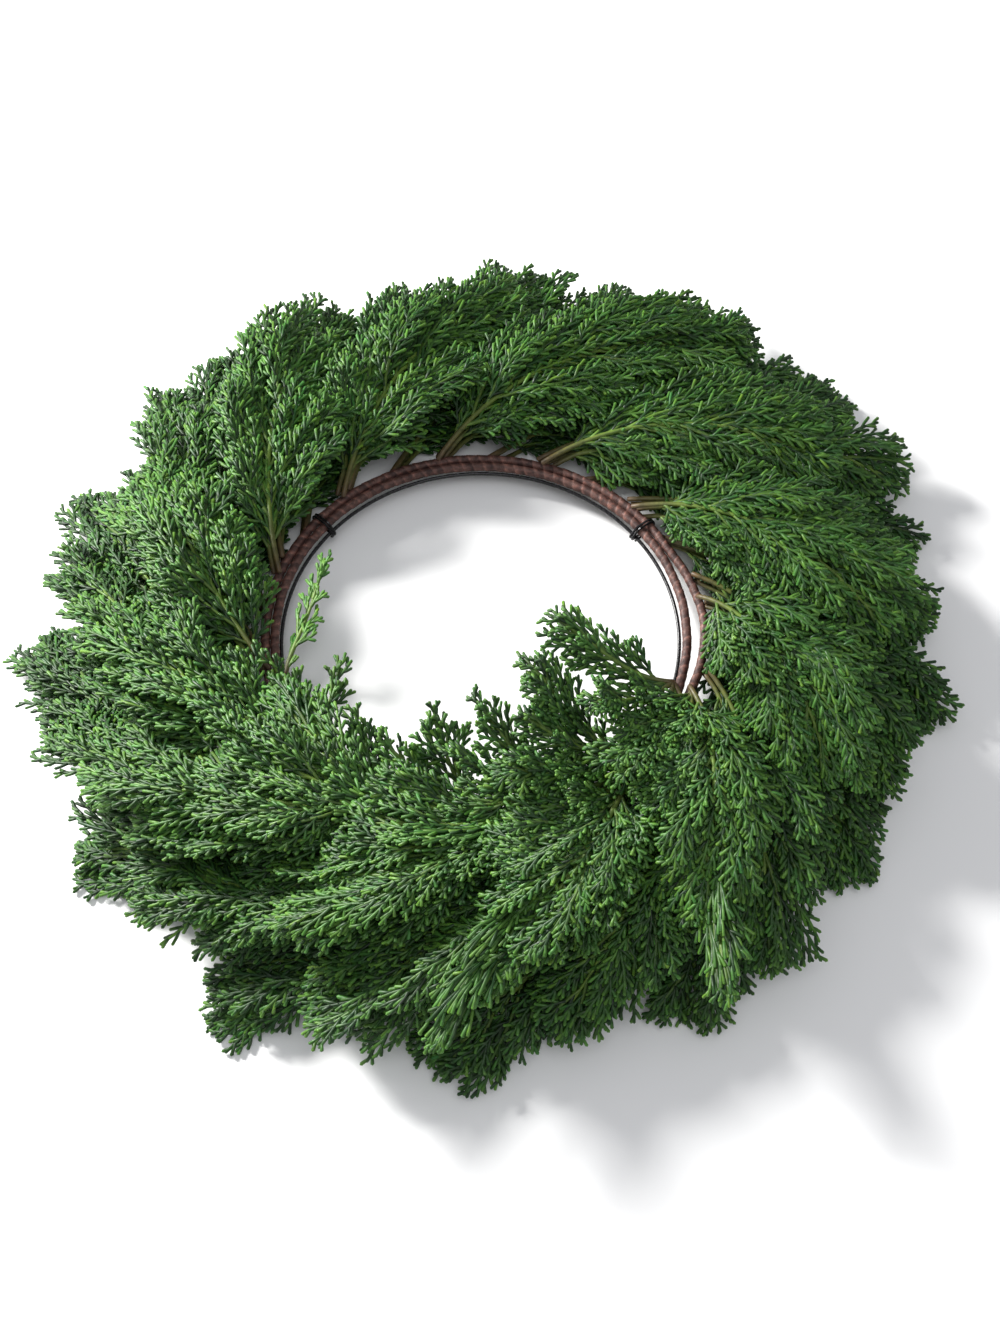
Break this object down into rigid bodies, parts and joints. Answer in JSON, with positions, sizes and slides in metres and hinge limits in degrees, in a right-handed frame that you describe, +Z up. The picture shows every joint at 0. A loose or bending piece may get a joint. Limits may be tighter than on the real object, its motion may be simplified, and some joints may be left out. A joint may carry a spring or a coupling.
{
  "type": "evergreen wreath",
  "caption": "Round cedar wreath: flat green boughs sweep clockwise off two bark-brown core stems wired to a black hoop, with sprigs leaning into the hole.",
  "frame": {"origin": "middle of the underside, on the surface the wreath lies on", "axes": "+Z up, out of the wreath's face; +X to the right and +Y away, seen from above with the parting of the core stems at the right"},
  "size_m": [0.534, 0.5246, 0.0617],
  "materials": {
    "bark": "matt, wrinkled bark tape",
    "wire": "black enamelled wire",
    "foliage_outer": "scale leaves, deep green",
    "foliage_face": "scale leaves, mid green",
    "foliage_crown": "scale leaves, fresh green",
    "foliage_sprig": "scale leaves, light yellow green"
  },
  "bodies": {
    "root": {"core_stem_a": "bark", "core_stem_b": "bark", "crown_bough_01": "foliage_crown", "crown_bough_02": "foliage_crown", "crown_bough_03": "foliage_crown", "crown_bough_04": "foliage_crown", "crown_bough_05": "foliage_crown", "crown_bough_06": "foliage_crown", "crown_bough_07": "foliage_crown", "crown_bough_08": "foliage_crown", "crown_bough_09": "foliage_crown", "crown_bough_10": "foliage_crown", "crown_bough_11": "foliage_crown", "crown_bough_12": "foliage_crown", "face_bough_01": "foliage_face", "face_bough_02": "foliage_face", "face_bough_03": "foliage_face", "face_bough_04": "foliage_face", "face_bough_05": "foliage_face", "face_bough_06": "foliage_face", "face_bough_07": "foliage_face", "face_bough_08": "foliage_face", "face_bough_09": "foliage_face", "face_bough_10": "foliage_face", "face_bough_11": "foliage_face", "face_bough_12": "foliage_face", "face_bough_13": "foliage_face", "inner_sprig_1": "foliage_sprig", "inner_sprig_2": "foliage_sprig", "inner_sprig_3": "foliage_sprig", "inner_sprig_4": "foliage_sprig", "inner_sprig_5": "foliage_sprig", "inner_sprig_6": "foliage_sprig", "inner_sprig_7": "foliage_sprig", "outer_bough_01": "foliage_outer", "outer_bough_02": "foliage_outer", "outer_bough_03": "foliage_outer", "outer_bough_04": "foliage_outer", "outer_bough_05": "foliage_outer", "outer_bough_06": "foliage_outer", "outer_bough_07": "foliage_outer", "outer_bough_08": "foliage_outer", "outer_bough_09": "foliage_outer", "outer_bough_10": "foliage_outer", "outer_bough_11": "foliage_outer", "outer_bough_12": "foliage_outer", "outer_bough_13": "foliage_outer", "wire_ring": "wire", "wire_tie_1": "wire", "wire_tie_2": "wire", "wire_tie_3": "wire", "wire_tie_4": "wire", "wire_tie_5": "wire"}
  },
  "joints": []
}
